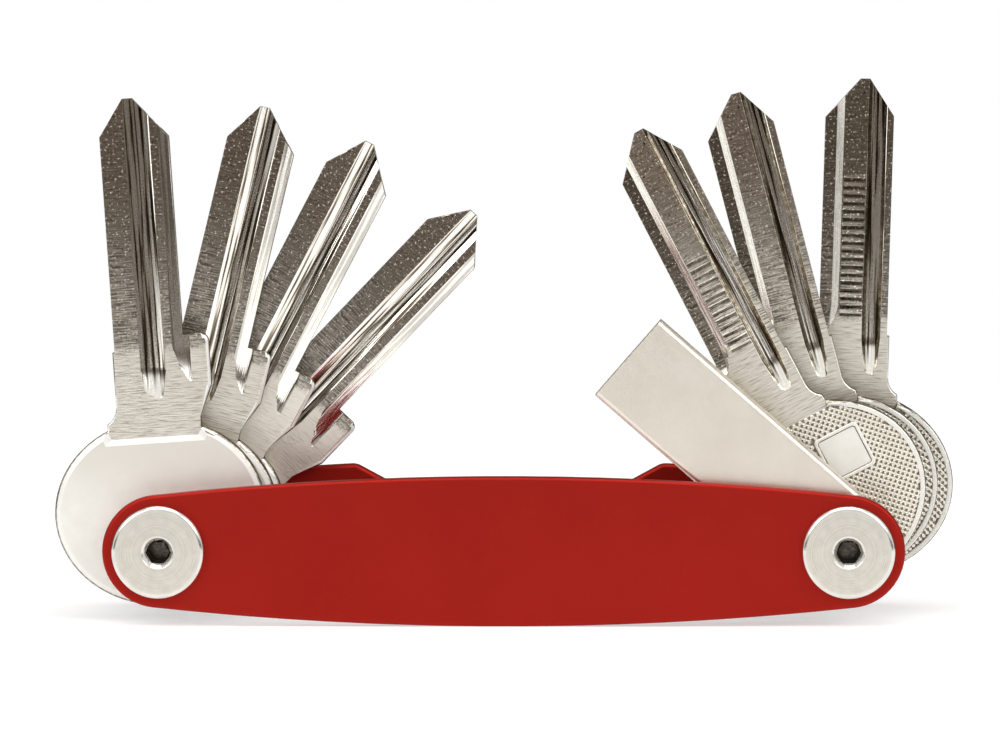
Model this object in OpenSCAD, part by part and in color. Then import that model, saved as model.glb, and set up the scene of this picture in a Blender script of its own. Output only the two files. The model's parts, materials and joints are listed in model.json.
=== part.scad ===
// Pocket key organizer: two slim side plates on two sleeve posts, with keys and a
// USB stick that swing out between them like the blades of a pocket knife.
// X runs along the plates, Y from the front plate to the back plate, Z is up.
// The origin is on the ground under the middle of the plates.

/* [Side plates] */
// Distance between the two posts
pivot_spacing = 85.4; // [80:0.1:110]
// Radius of each rounded plate end about its post
end_radius = 7; // [6.2:0.1:8.5]
// Height of a plate at its middle, where it is tallest
mid_height = 18.6; // [16:0.1:24]
// Thickness of a plate
plate_t = 2; // [1.2:0.1:3]

/* [Finger notch in the back plate] */
// Width of the notch at the plate's top edge
notch_top_w = 40.5; // [30:0.5:48]
// Width of the notch floor
notch_floor_w = 22; // [14:0.5:26]
// Depth of the notch below the plate's highest point
notch_depth = 5; // [3:0.1:7]

/* [Posts and screws] */
// Diameter of a screw or sleeve head
head_d = 11.6; // [9:0.1:12]
// Height of a head above its plate
head_h = 1.2; // [0.8:0.1:2]
// Radius of the rounded edge of a head
head_round = 0.7; // [0.2:0.1:0.9]
// Outside diameter of the sleeve that the keys turn on
sleeve_d = 5; // [4.6:0.1:5.4]
// Diameter of the screw shank in the sleeve
screw_d = 4; // [3.6:0.1:4.2]
// Length of the screw shank
screw_l = 14; // [10:0.5:18]
// Width across the flats of the hexagon sockets
socket_af = 2.5; // [2:0.1:2.6]
// Depth of the socket in a screw
socket_depth = 5; // [3:0.1:7]
// Depth of the socket in a sleeve head
sleeve_socket_depth = 2.2; // [1.5:0.1:3]
// Diameter of the countersink at the mouth of a socket
countersink_d = 4; // [3.2:0.1:4.8]

/* [Stack between the plates] */
// Gap between two neighbouring layers of the stack
layer_gap = 0.3; // [0.25:0.05:0.8]
// Play on each side of a washer or spacer next to a moving piece
play = 0.05; // [0.02:0.01:0.1]
// Radial clearance of a turning bore on its sleeve
bore_clearance = 0.08; // [0.03:0.01:0.1]
// Outside diameter of the spacers and washers
spacer_d = 9; // [7:0.1:10]

/* [Keys] */
// Thickness of a key's bow, the part that is held
key_t = 2.2; // [1.9:0.1:2.8]
// Thickness of a key's neck and blade
blade_t = 1.8; // [1.6:0.1:1.9]
// Width of a key blade
blade_w = 8.6; // [8:0.1:9]
// Width of a key's neck across its shoulder
neck_w = 12.1; // [11:0.1:13]
// Step from the neck to the blade on the side away from the shoulder
neck_step = 0.3; // [0.1:0.1:0.6]
// Distance of that step below the shoulder
neck_step_drop = 1.7; // [0.5:0.1:3]
// Length of neck above the bow over which its shoulder side tapers
neck_taper = 3.7; // [2:0.1:5]
// Half of the width of a bow
bow_half_w = 13.2; // [12:0.1:14]
// Half of the height of a bow
bow_half_h = 11.7; // [10.5:0.1:12.5]
// Width of the sloping edge round a smooth bow
bow_bevel = 0.8; // [0.3:0.1:1]
// Width of the straight edge of a bow's face, where the neck starts
chord_w = 10.8; // [9:0.1:12]
// Width of the flat rim round a recessed bow
bow_rim = 0.8; // [0.6:0.1:2]
// Depth of the recess in a recessed bow
bow_recess = 0.25; // [0.1:0.05:0.4]
// Width of the plain square pad in a recessed bow
pad_w = 6.2; // [4:0.1:6.4]
// Radius of the corners of the pad
pad_corner = 0.7; // [0.4:0.1:1.4]
// Width of the raised border of the pad
pad_border = 0.6; // [0.4:0.1:1]
// Depth of the pad's middle below its border
pad_pocket = 0.12; // [0.05:0.01:0.18]
// Sideways place of the pad
pad_u = 5; // [0:0.1:6]
// Height of the pad above the centre of the bow
pad_v = 3.6; // [2:0.1:4]
// Radius of the rounded shoulder corner
shoulder_round = 0.9; // [0.4:0.1:1.5]
// Radius of the fillet between neck and bow
neck_fillet = 2.5; // [1.5:0.1:4]
// Width of the flat at the point of a key
tip_flat = 1.2; // [0.6:0.1:2]
// Length of the slope of the point on the side away from the shoulder
tip_back_slope = 4.6; // [3:0.1:6]
// Length of the slope of the point on the shoulder's side
tip_front_slope = 5; // [3:0.1:6]

/* [Left keys] */
// Distance from the post to the point of a left key
left_reach = 56; // [50:0.1:60]
// Distance from the post to the shoulder of a left key
left_shoulder = 26.2; // [25:0.1:29]
// Distance from the post to the centre of a left key's bow
left_bow_centre = 4.3; // [3.5:0.1:5.5]
// Distance from the top of a left bow down to the straight edge of its face
left_bow_chord = 2.3; // [1.8:0.1:3.5]
// Lean of each left key from upright, towards the right
left_lean = [-3.7, 13.7, 27.7, 43.9];

/* [Right keys] */
// Distance from the post to the point of a right key
right_reach = 57.8; // [50:0.1:60]
// Distance from the post to the shoulder of a right key
right_shoulder = 27.2; // [25:0.1:29]
// Distance from the post to the centre of a right key's bow
right_bow_centre = 6.8; // [5:0.1:7]
// Distance from the top of a right bow down to the straight edge of its face
right_bow_chord = 2.1; // [1.8:0.1:3.5]
// Lean of each right key from upright, towards the right
right_lean = [-27.3, -14.5, 1.8];

/* [USB stick] */
// Width of the stick
usb_w = 12.35; // [12:0.05:13]
// Thickness of the stick
usb_t = 4.5; // [4.4:0.1:5]
// Distance from the post to the open plug end
usb_reach = 36.2; // [34:0.1:40]
// Distance from the post to the other end
usb_tail = 5; // [4.6:0.1:6]
// Radius of the rounded long edges
usb_edge = 0.7; // [0.3:0.1:1]
// Radius of the corners at the tail
usb_corner = 3; // [1:0.1:4]
// Thickness of the metal case
usb_wall = 0.35; // [0.3:0.05:0.5]
// Depth of the plug mouth
usb_mouth = 24; // [20:0.5:27]
// Thickness of the plastic carrier in the mouth
carrier_t = 0.9; // [0.6:0.1:1]
// Thickness of the memory board on the carrier
board_t = 1; // [0.8:0.1:1.1]
// Distance that the board stops short of the plug end
board_setback = 0.8; // [0.4:0.1:2]
// Thickness of the contact pads
contact_t = 0.1; // [0.05:0.05:0.15]
// Width of a contact pad
contact_w = 1.2; // [0.8:0.1:1.4]
// Length of a contact pad
contact_l = 7.5; // [5:0.1:9]
// Distance between neighbouring contact pads
contact_pitch = 2.25; // [2:0.05:2.6]
// Distance of the pads from the edge of the board
contact_inset = 0.6; // [0.2:0.1:1.5]
// Lean of the stick from upright, towards the right
usb_lean = -48.8; // [-90:0.1:90]

/* [Hidden] */
$fn = 96;

// Finishes
anodised_red = [0.62, 0.15, 0.11];
stainless = [0.83, 0.81, 0.77];
nickel = [0.86, 0.84, 0.79];
nylon = [0.93, 0.92, 0.88];
board_black = [0.08, 0.08, 0.09];
carrier_grey = [0.3, 0.3, 0.32];
gold = [0.85, 0.68, 0.32];

// Stack, from the front plate to the back plate
left_count = len(left_lean);
right_count = len(right_lean);
key_count = left_count + right_count;
channel_w = layer_gap + usb_t + key_count * (key_t + layer_gap) + layer_gap;
front_inner = -channel_w / 2;
back_inner = channel_w / 2;
usb_front = front_inner + layer_gap;
usb_back = usb_front + usb_t;
pivot_z = mid_height / 2;
left_x = -pivot_spacing / 2;
right_x = pivot_spacing / 2;
bore_r = sleeve_d / 2 + bore_clearance;
overcut = 1;
bow_steps = 72;
neck_back_u = -blade_w / 2 - neck_step;
neck_shoulder_u = neck_back_u + neck_w;

// Front face of key layer k, counted from 1 behind the stick: left keys take the odd layers
function layer_front(k) = usb_back + layer_gap + (k - 1) * (key_t + layer_gap);
function left_front(i) = layer_front(2 * i - 1);
function right_front(i) = layer_front(2 * i);

// Points on an arc, from angle a0 to a1 in n steps
function arc(cx, cy, r, a0, a1, n) =
    [for (i = [0:n]) let (a = a0 + (a1 - a0) * i / n) [cx + r * cos(a), cy + r * sin(a)]];

// Points of an ellipse round (0, cy)
function ellipse(rx, ry, cy) =
    [for (i = [0:bow_steps - 1]) let (a = 360 * i / bow_steps) [rx * cos(a), cy + ry * sin(a)]];

// Points of a rounded rectangle round the origin
function rounded_rectangle(w, h, r) = concat(
    arc(w / 2 - r, h / 2 - r, r, 0, 90, 6), arc(r - w / 2, h / 2 - r, r, 90, 180, 6),
    arc(r - w / 2, r - h / 2, r, 180, 270, 6), arc(w / 2 - r, r - h / 2, r, 270, 360, 6));

// Stands a flat outline upright, with its thickness along Y
module upright(t) {
    rotate([90, 0, 0]) linear_extrude(height = t, center = true) children();
}

// A cylinder along +Y between two faces, at a post
module rod(x, y0, y1, r) {
    translate([x, y0, pivot_z]) rotate([-90, 0, 0]) cylinder(h = y1 - y0, r = r);
}

// Side plates

// Radius of the long edges, which run tangent into the rounded ends
edge_radius = (pow(pivot_spacing / 2, 2) + pow(mid_height / 2, 2) - pow(end_radius, 2))
    / (mid_height - 2 * end_radius);
edge_centre = edge_radius - mid_height / 2;
edge_sweep = asin(pivot_spacing / 2 / (edge_radius - end_radius));
edge_steps = 36;
end_steps = 28;

function plate_outline() = concat(
    arc(0, -edge_centre, edge_radius, 90 - edge_sweep, 90 + edge_sweep, edge_steps),
    arc(left_x, 0, end_radius, 90 + edge_sweep, 270 - edge_sweep, end_steps),
    arc(0, edge_centre, edge_radius, 270 - edge_sweep, 270 + edge_sweep, edge_steps),
    arc(right_x, 0, end_radius, -90 + edge_sweep, 90 - edge_sweep, end_steps));

module plate_blank(y_mid) {
    difference() {
        translate([0, y_mid, pivot_z]) upright(plate_t) polygon(plate_outline());
        for (x = [left_x, right_x]) {
            rod(x, y_mid - plate_t / 2 - overcut, y_mid + plate_t / 2 + overcut, bore_r);
        }
    }
}

module front_plate() {
    color(anodised_red) plate_blank(front_inner - plate_t / 2);
}

module back_plate() {
    notch_rise = overcut + notch_depth;
    notch_mouth_w = notch_top_w + (notch_top_w - notch_floor_w) * overcut / notch_depth;
    color(anodised_red) difference() {
        plate_blank(back_inner + plate_t / 2);
        translate([0, back_inner + plate_t / 2, mid_height - notch_depth])
            upright(plate_t + 2 * overcut) polygon([
                [-notch_floor_w / 2, 0], [notch_floor_w / 2, 0],
                [notch_mouth_w / 2, notch_rise], [-notch_mouth_w / 2, notch_rise]]);
    }
}

// Posts: a headed sleeve from the back, and a socket screw into it from the front

// Outline of a head with a rounded edge, its seat at height 0
function head_profile() = concat(
    [[0, 0], [head_d / 2, 0]],
    arc(head_d / 2 - head_round, head_h - head_round, head_round, 0, 90, 6),
    [[0, head_h]]);

// Hexagon socket with a countersunk mouth, cut down from height 0
module socket_cut(depth) {
    countersink_depth = (countersink_d - socket_af) / 2;
    translate([0, 0, -depth]) cylinder(h = depth + overcut, d = socket_af / cos(30), $fn = 6);
    translate([0, 0, -countersink_depth])
        cylinder(h = countersink_depth + overcut, d1 = socket_af, d2 = countersink_d + 2 * overcut);
}

module post_screw(x) {
    color(stainless) translate([x, front_inner - plate_t, pivot_z]) rotate([90, 0, 0])
        difference() {
            union() {
                rotate_extrude() polygon(head_profile());
                translate([0, 0, -screw_l]) cylinder(h = screw_l + head_h / 2, d = screw_d);
            }
            translate([0, 0, head_h]) socket_cut(socket_depth);
        }
}

module post_sleeve(x) {
    sleeve_l = channel_w + 2 * plate_t - layer_gap;
    bore_l = screw_l + layer_gap;
    color(stainless) translate([x, back_inner + plate_t, pivot_z]) rotate([-90, 0, 0])
        difference() {
            union() {
                rotate_extrude() polygon(head_profile());
                translate([0, 0, -sleeve_l]) cylinder(h = sleeve_l + head_h / 2, d = sleeve_d);
            }
            translate([0, 0, -sleeve_l - overcut])
                cylinder(h = bore_l + overcut, r = screw_d / 2 + bore_clearance);
            translate([0, 0, head_h]) socket_cut(sleeve_socket_depth);
        }
}

// Spacers and washers that fill a post between its keys

module ring(x, y0, y1) {
    color(nylon) difference() {
        rod(x, y0, y1, spacer_d / 2);
        rod(x, y0 - overcut, y1 + overcut, bore_r);
    }
}

module left_front_spacer() {
    ring(left_x, front_inner, left_front(1) - play);
}

module left_spacer(i) {
    ring(left_x, left_front(i) + key_t + play, left_front(i + 1) - play);
}

module left_washer() {
    ring(left_x, left_front(left_count) + key_t + play, back_inner);
}

module right_washer() {
    ring(right_x, front_inner, usb_front - play);
}

module right_spacer(i) {
    y0 = i == 1 ? usb_back : right_front(i - 1) + key_t;
    y1 = i > right_count ? back_inner : right_front(i) - play;
    ring(right_x, y0 + play, y1);
}

// Keys, drawn upright with the post at the origin and the shoulder on the right

// Outline of neck and blade together
function key_outline(reach, shoulder, bow_centre) = let (
    half = blade_w / 2,
    bow_top = bow_centre + bow_half_h,
    flare = arc(neck_back_u - neck_fillet, bow_top + neck_fillet * 0.7, neck_fillet, -60, 0, 8),
    corner = arc(neck_shoulder_u - shoulder_round, shoulder - shoulder_round, shoulder_round, 0, 90, 6)
) concat(
    [[-tip_flat, reach], [-half, reach - tip_back_slope], [-half, shoulder - neck_step_drop]],
    [[neck_back_u, shoulder - neck_step_drop]],
    [for (i = [len(flare) - 1:-1:0]) flare[i]],
    [[flare[0][0], bow_centre], [-flare[0][0], bow_centre]],
    [[-flare[0][0], bow_top], [neck_shoulder_u, bow_top + neck_taper]],
    corner,
    [[half, shoulder], [half, reach - tip_front_slope], [0, reach]]);

// Milled grooves, each with its face (-1 front, 1 back), left and right edge across the blade, run of its
// left and of its right wall, depth, distance of its foot below the shoulder, length of its run-out and
// whether it runs out by lifting off the face, which gives a pointed foot, or by getting shallow
blade_edge = blade_w / 2 + neck_step;
left_grooves = [
    [-1, -1.3, 1.95, 1.35, 0.75, 0.42, 7.8, 3.6, false],
    [-1, 2.85, blade_edge + 0.5, 2.1, 0.1, 0.5, 6, 4.5, true],
    [1, 1.5, 3.5, 0.3, 0.3, 0.6, 7.2, 4.5, false],
    [1, -blade_edge - overcut, -2.7, 0.25, 0.25, 0.45, 1.2, 3, true]];
right_grooves = [
    [-1, -blade_edge - overcut, -1.9, 0.25, 0.9, 0.8, 1.5, 3.5, true],
    [-1, 1.1, 3.45, 0.45, 0.45, 0.85, 6.6, 4.8, false],
    [1, -1.4, 0.8, 0.35, 0.35, 0.8, 7.2, 4.8, false],
    [1, 2.2, blade_edge + overcut, 0.25, 0.25, 0.4, 1.5, 3, true]];

// A solid through rings of points of equal number, one behind the other
module loft(rings) {
    n = len(rings[0]);
    last = len(rings) - 1;
    sides = [for (k = [0:last - 1]) for (i = [0:n - 1]) let (j = (i + 1) % n)
        [k * n + i, k * n + j, (k + 1) * n + j, (k + 1) * n + i]];
    caps = [[for (i = [n - 1:-1:0]) i], [for (i = [0:n - 1]) last * n + i]];
    polyhedron([for (ring = rings) for (p = ring) p], concat(caps, sides));
}

// One milled groove, drawn as cross-sections along the blade: beyond its point, where the run-out starts,
// three along the arc of the round cutter and one at the foot, where the groove has left the face. Each has
// its place along the blade, the rise of its floor as a share of the depth and its width as a share
module groove(row, shoulder, reach) {
    u0 = row[1];
    u1 = row[2];
    floor_u0 = u0 + row[3];
    floor_u1 = u1 - row[4];
    floor_mid = (floor_u0 + floor_u1) / 2;
    depth = row[5];
    foot = shoulder - row[6];
    ramp = row[7];
    lifts = row[8];
    face = blade_t / 2;
    profile = [[u0, face + overcut], [u0, face], [floor_u0, face - depth],
        [floor_u1, face - depth], [u1, face], [u1, face + overcut]];
    sections = [[reach + overcut, 0, 1], [foot + ramp, 0, 1], [foot + ramp * 0.55, 0.2, 0.84],
        [foot + ramp * 0.25, 0.56, 0.7], [foot + ramp * 0.08, 0.85, 0.54], [foot, 1.03, 0.25]];
    function risen(y, share) = lifts ? y + share * depth : max(y, face - (face - y) * (1 - share));
    mirror([0, row[0] < 0 ? 1 : 0, 0]) loft([for (section = sections) [for (p = profile)
        [floor_mid + (p[0] - floor_mid) * section[2], risen(p[1], section[1]), section[0]]]]);
}

// Cuts the front of a bow down to the neck above a straight edge with slanted ends, and slopes its wall
chord_flare = 0.5;
bow_rise = (key_t - blade_t) / 2;
module chord_cut(chord, top, slope) {
    loft([for (step = [-1, 2]) let (
        low = chord - step * slope,
        half = chord_w / 2 + step * slope,
        top_half = half + (top - low) * chord_flare,
        y = -blade_t / 2 - step * bow_rise
    ) [[-half, y, low], [-top_half, y, top], [top_half, y, top], [half, y, low]]]);
}

// Smooth bow with a sloping edge all round, also where the neck starts
module smooth_bow(bow_centre, chord) {
    upright(blade_t) polygon(ellipse(bow_half_w, bow_half_h, bow_centre));
    for (m = [0, 1]) {
        mirror([0, m, 0]) difference() {
            translate([0, 0, bow_centre]) rotate([90, 0, 0]) translate([0, 0, blade_t / 2])
                linear_extrude(height = bow_rise, slices = 1, $fn = 3,
                    scale = [1 - bow_bevel / bow_half_w, 1 - bow_bevel / bow_half_h])
                    polygon(ellipse(bow_half_w, bow_half_h, 0));
            chord_cut(chord, bow_centre + bow_half_h + overcut, bow_bevel);
        }
    }
}

// Bow with flat faces, cut down to the neck above its straight edge
module flat_bow(bow_centre, chord) {
    difference() {
        upright(key_t) polygon(ellipse(bow_half_w, bow_half_h, bow_centre));
        for (m = [0, 1]) {
            mirror([0, m, 0]) chord_cut(chord, bow_centre + bow_half_h + overcut, bow_rise);
        }
    }
}

// Recesses in both faces of a flat bow: a field inside its rim, up to the straight edge, that leaves the hub
// and a pad standing, and the pocket in the middle of the pad
module bow_fields(bow_centre, chord) {
    bow_bottom = bow_centre - bow_half_h;
    pocket_w = pad_w - 2 * pad_border;
    for (m = [0, 1]) {
        mirror([0, m, 0]) {
            translate([0, bow_recess - key_t / 2 - overcut, 0]) difference() {
                upright(2 * overcut) intersection() {
                    polygon(ellipse(bow_half_w - bow_rim, bow_half_h - bow_rim, bow_centre));
                    translate([-bow_half_w, bow_bottom]) square([2 * bow_half_w, chord - bow_bottom]);
                }
                translate([pad_u, 0, bow_centre + pad_v]) upright(4 * overcut)
                    polygon(rounded_rectangle(pad_w, pad_w, pad_corner));
                upright(4 * overcut) circle(r = spacer_d / 2 + layer_gap);
            }
            translate([pad_u, pad_pocket - key_t / 2 - overcut, bow_centre + pad_v]) upright(2 * overcut)
                polygon(rounded_rectangle(pocket_w, pocket_w, pad_corner / 2));
        }
    }
}

module bore_cut() {
    rotate([90, 0, 0]) cylinder(h = key_t + 2 * overcut, r = bore_r, center = true);
}

module left_key(i) {
    color(nickel) translate([left_x, left_front(i) + key_t / 2, pivot_z])
        rotate([0, left_lean[i - 1], 0]) difference() {
            union() {
                smooth_bow(left_bow_centre, left_bow_centre + bow_half_h - left_bow_chord);
                upright(blade_t) polygon(key_outline(left_reach, left_shoulder, left_bow_centre));
            }
            for (row = left_grooves) groove(row, left_shoulder, left_reach);
            bore_cut();
        }
}

module right_key(i) {
    chord = right_bow_centre + bow_half_h - right_bow_chord;
    color(nickel) translate([right_x, right_front(i) + key_t / 2, pivot_z])
        rotate([0, right_lean[i - 1], 0]) difference() {
            union() {
                flat_bow(right_bow_centre, chord);
                mirror([1, 0, 0]) upright(blade_t)
                    polygon(key_outline(right_reach, right_shoulder, right_bow_centre));
            }
            bow_fields(right_bow_centre, chord);
            for (row = right_grooves) groove(row, right_shoulder, right_reach);
            bore_cut();
        }
}

// USB stick: a folded metal case with an open plug end, and the memory board on its carrier inside

module place_usb() {
    translate([right_x, usb_front + usb_t / 2, pivot_z]) rotate([0, usb_lean, 0]) children();
}

mouth_w = usb_w - 2 * usb_wall;
mouth_t = usb_t - 2 * usb_wall;
mouth_floor = usb_reach - usb_mouth;
board_top = usb_reach - board_setback;

module usb_case() {
    tail = concat(
        [[usb_w / 2, usb_reach], [-usb_w / 2, usb_reach]],
        arc(usb_corner - usb_w / 2, usb_corner - usb_tail, usb_corner, 180, 270, 8),
        arc(usb_w / 2 - usb_corner, usb_corner - usb_tail, usb_corner, 270, 360, 8));
    color(nickel) place_usb() difference() {
        intersection() {
            translate([0, 0, -usb_tail]) linear_extrude(height = usb_tail + usb_reach)
                polygon(rounded_rectangle(usb_w, usb_t, usb_edge));
            upright(usb_t + 2 * overcut) polygon(tail);
        }
        translate([-mouth_w / 2, -mouth_t / 2, mouth_floor])
            cube([mouth_w, mouth_t, usb_mouth + overcut]);
        rotate([90, 0, 0]) cylinder(h = usb_t + 2 * overcut, r = bore_r, center = true);
    }
}

module usb_carrier() {
    color(carrier_grey) place_usb()
        translate([-mouth_w / 2, mouth_t / 2 - carrier_t, mouth_floor])
            cube([mouth_w, carrier_t, board_top - mouth_floor]);
}

module usb_board() {
    color(board_black) place_usb()
        translate([-mouth_w / 2, mouth_t / 2 - carrier_t - board_t, mouth_floor])
            cube([mouth_w, board_t, board_top - mouth_floor]);
}

module usb_contacts() {
    color(gold) place_usb() for (i = [-1.5:1:1.5]) {
        translate([i * contact_pitch - contact_w / 2,
            mouth_t / 2 - carrier_t - board_t - contact_t, board_top - contact_inset - contact_l])
            cube([contact_w, contact_t, contact_l]);
    }
}

front_plate();
back_plate();
post_sleeve(left_x);  // left_sleeve
post_sleeve(right_x);  // right_sleeve
post_screw(left_x);  // left_screw
post_screw(right_x);  // right_screw
left_front_spacer();
left_spacer(1);  // left_spacer_1
left_spacer(2);  // left_spacer_2
left_spacer(3);  // left_spacer_3
left_washer();
right_washer();
right_spacer(1);  // right_spacer_1
right_spacer(2);  // right_spacer_2
right_spacer(3);  // right_spacer_3
right_spacer(4);  // right_spacer_4
left_key(1);  // left_key_1
left_key(2);  // left_key_2
left_key(3);  // left_key_3
left_key(4);  // left_key_4
right_key(1);  // right_key_1
right_key(2);  // right_key_2
right_key(3);  // right_key_3
usb_case();
usb_carrier();
usb_board();
usb_contacts();
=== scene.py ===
"""Pocket key organizer: red anodised plates on two screw posts, with key blanks and a USB stick fanned out.

The sections follow the object as it is put together on the bench, from the sleeves at the back to the screws
at the front, and the studio and the camera come last.
"""
import json
import math

import bmesh
import bpy
from mathutils import Matrix, Vector


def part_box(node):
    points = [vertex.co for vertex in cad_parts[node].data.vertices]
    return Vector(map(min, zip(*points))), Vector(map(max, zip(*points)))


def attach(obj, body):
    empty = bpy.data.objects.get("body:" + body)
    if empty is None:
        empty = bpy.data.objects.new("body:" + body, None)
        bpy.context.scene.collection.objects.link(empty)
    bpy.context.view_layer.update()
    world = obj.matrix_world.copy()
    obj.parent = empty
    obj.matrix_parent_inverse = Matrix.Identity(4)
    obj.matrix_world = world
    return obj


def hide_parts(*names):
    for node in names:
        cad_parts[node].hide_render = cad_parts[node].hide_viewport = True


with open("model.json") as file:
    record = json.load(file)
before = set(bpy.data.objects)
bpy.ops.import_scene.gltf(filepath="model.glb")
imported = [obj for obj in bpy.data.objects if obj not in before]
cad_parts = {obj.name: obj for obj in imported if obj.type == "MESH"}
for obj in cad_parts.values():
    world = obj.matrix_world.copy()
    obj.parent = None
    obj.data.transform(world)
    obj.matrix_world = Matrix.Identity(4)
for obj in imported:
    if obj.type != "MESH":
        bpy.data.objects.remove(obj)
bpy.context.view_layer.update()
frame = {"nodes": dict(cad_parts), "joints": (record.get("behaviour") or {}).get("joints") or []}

MM = 0.001

# Sleeves: two headed stainless sleeves, pushed through the back plate from behind. They are turned on a
# lathe, so their heads show fine rings about the middle, and every key swings on their shanks.

flat_facing = 0.9999
large_area = 10.0 * MM ** 2
merge_gap = 0.003 * MM
flat_angle = math.radians(0.5)
corner_angle = math.radians(30.0)


def plain_copy(node, shape=None):
    """A copy of a CAD node with its triangles merged into plain faces.

    `shape`, where given, is a function that works on these faces.
    """
    mesh = frame["nodes"][node].data.copy()
    mesh.materials.clear()
    work = bmesh.new()
    work.from_mesh(mesh)
    bmesh.ops.remove_doubles(work, verts=work.verts, dist=merge_gap)
    bmesh.ops.dissolve_limit(work, angle_limit=flat_angle, verts=work.verts, edges=work.edges)
    for item in (*work.faces, *work.edges):
        item.smooth = True
    if shape:
        shape(work)
    work.to_mesh(mesh)
    work.free()
    piece = bpy.data.objects.new(node + "_finish", mesh)
    bpy.context.scene.collection.objects.link(piece)
    return piece


def soft_copy(node, edge, steps=2):
    """A plain copy of a CAD node with its edges rounded by `edge` mm."""
    piece = plain_copy(node)
    rounding = piece.modifiers.new("rounding", "BEVEL")
    rounding.width = edge * MM
    rounding.segments = steps
    rounding.limit_method = "ANGLE"
    rounding.angle_limit = corner_angle
    rounding.use_clamp_overlap = True
    even_shading(piece)
    return piece


def even_shading(piece):
    """Shades a piece by its larger faces and keeps the edges that are marked sharp."""
    shading = piece.modifiers.new("shading", "WEIGHTED_NORMAL")
    shading.keep_sharp = True
    settle(piece)
    level_flats(piece.data)


def level_flats(mesh):
    """Gives every corner of a flat front or back, and of any large face, that face's own normal."""
    normals = [corner.vector.copy() for corner in mesh.corner_normals]
    for face in mesh.polygons:
        if abs(face.normal.y) > flat_facing or face.area > large_area:
            for corner in face.loop_indices:
                normals[corner] = face.normal.copy()
    mesh.normals_split_custom_set(normals)


def settle(piece):
    """Turns a piece's modifiers into its plain mesh."""
    evaluated = piece.evaluated_get(bpy.context.evaluated_depsgraph_get())
    plain = bpy.data.meshes.new_from_object(evaluated)
    old = piece.data
    piece.modifiers.clear()
    piece.data = plain
    bpy.data.meshes.remove(old)
    plain.name = piece.name


def joint_of(body):
    """The hinge that carries a body."""
    return next(joint for joint in frame["joints"] if joint["child"] == body)


flat_map = "flat"
cm_per_metre = 100.0


def lay_uv(piece, place):
    """Writes a UV map in centimetres from `place`, a function from a point to its two flat coordinates."""
    layer = piece.data.uv_layers.new(name=flat_map)
    for loop in piece.data.loops:
        across, along = place(piece.data.vertices[loop.vertex_index].co)
        layer.data[loop.index].uv = (across * cm_per_metre, along * cm_per_metre)


def new_material(name):
    """A material with a plain Principled BSDF; returns it with its tree and its shader."""
    material = bpy.data.materials.new(name)
    material.use_nodes = True
    tree = material.node_tree
    return material, tree, tree.nodes["Principled BSDF"]


def feed(tree, socket, value):
    """Links a node's input to another node's output, or sets it to a plain value."""
    if isinstance(value, bpy.types.NodeSocket):
        tree.links.new(value, socket)
    else:
        socket.default_value = value


def add_node(tree, kind, inputs, **settings):
    """A node in a tree: its settings come first, then its inputs, each by name or number."""
    node = tree.nodes.new(kind)
    for name, value in settings.items():
        setattr(node, name, value)
    for key, value in inputs.items():
        feed(tree, node.inputs[key], value)
    return node


def add_math(tree, operation, *sides):
    """The result of a Math node; each side is an output or a plain number."""
    return add_node(tree, "ShaderNodeMath", dict(enumerate(sides)), operation=operation).outputs["Value"]


def add_sockets(tree, way, kinds):
    """Adds named inputs or outputs to a tree, each with its kind."""
    for name, kind in kinds.items():
        tree.interface.new_socket(name=name, in_out=way, socket_type=kind)


noise_rough = 0.6
noise_low = 0.3
noise_high = 0.7
grain_detail = 2.0
blotch_detail = 4.0


def grain_group():
    """Shader group for metal: a fine grain and slow blotches on any coordinate, both from 0 to 1."""
    group = bpy.data.node_groups.new("metal_grain", "ShaderNodeTree")
    add_sockets(group, "INPUT", {"Place": "NodeSocketVector", "Grain Scale": "NodeSocketFloat",
                                 "Blotch Scale": "NodeSocketFloat"})
    add_sockets(group, "OUTPUT", {"Grain": "NodeSocketFloat", "Blotch": "NodeSocketFloat"})
    sizes = group.nodes.new("NodeGroupInput").outputs
    outlet = group.nodes.new("NodeGroupOutput")
    for name, detail in (("Grain", grain_detail), ("Blotch", blotch_detail)):
        noise = add_node(group, "ShaderNodeTexNoise", {
            "Vector": sizes["Place"], "Scale": sizes[name + " Scale"], "Detail": detail,
            "Roughness": noise_rough})
        spread = add_node(group, "ShaderNodeMapRange", {
            "Value": noise.outputs["Fac"], "From Min": noise_low, "From Max": noise_high})
        feed(group, outlet.inputs[name], spread.outputs["Result"])
    return group


metal_grain = grain_group()


def add_grain(tree, place, grain, blotch):
    """Places the grain group in a material, at these two scales; returns its grain and its blotches."""
    node = add_node(tree, "ShaderNodeGroup", {"Place": place, "Grain Scale": grain, "Blotch Scale": blotch},
                    node_tree=metal_grain)
    return node.outputs["Grain"], node.outputs["Blotch"]


def add_flat(tree):
    """The coordinate of a piece's own UV map, in centimetres."""
    return add_node(tree, "ShaderNodeUVMap", {}, uv_map=flat_map).outputs["UV"]


new_stop = 0.5


def add_ramp(tree, value, stops):
    """A colour ramp on a value; each stop is a position and a linear colour."""
    ramp = add_node(tree, "ShaderNodeValToRGB", {"Fac": value})
    elements = ramp.color_ramp.elements
    while len(elements) < len(stops):
        elements.new(new_stop)
    for element, (position, colour) in zip(elements, stops):
        element.position = position
        element.color = (*colour, 1.0)
    return ramp.outputs["Color"]


def add_range(tree, value, low, high):
    """Maps a value from 0..1 to low..high."""
    return add_node(tree, "ShaderNodeMapRange",
                    {"Value": value, "To Min": low, "To Max": high}).outputs["Result"]


def add_bump(tree, height, shader, depth):
    """Feeds a height through a Bump node into a shader's normal; `depth` is in mm."""
    bump = add_node(tree, "ShaderNodeBump", {"Height": height, "Distance": depth * MM, "Strength": 1.0})
    feed(tree, shader.inputs["Normal"], bump.outputs["Normal"])


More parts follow.
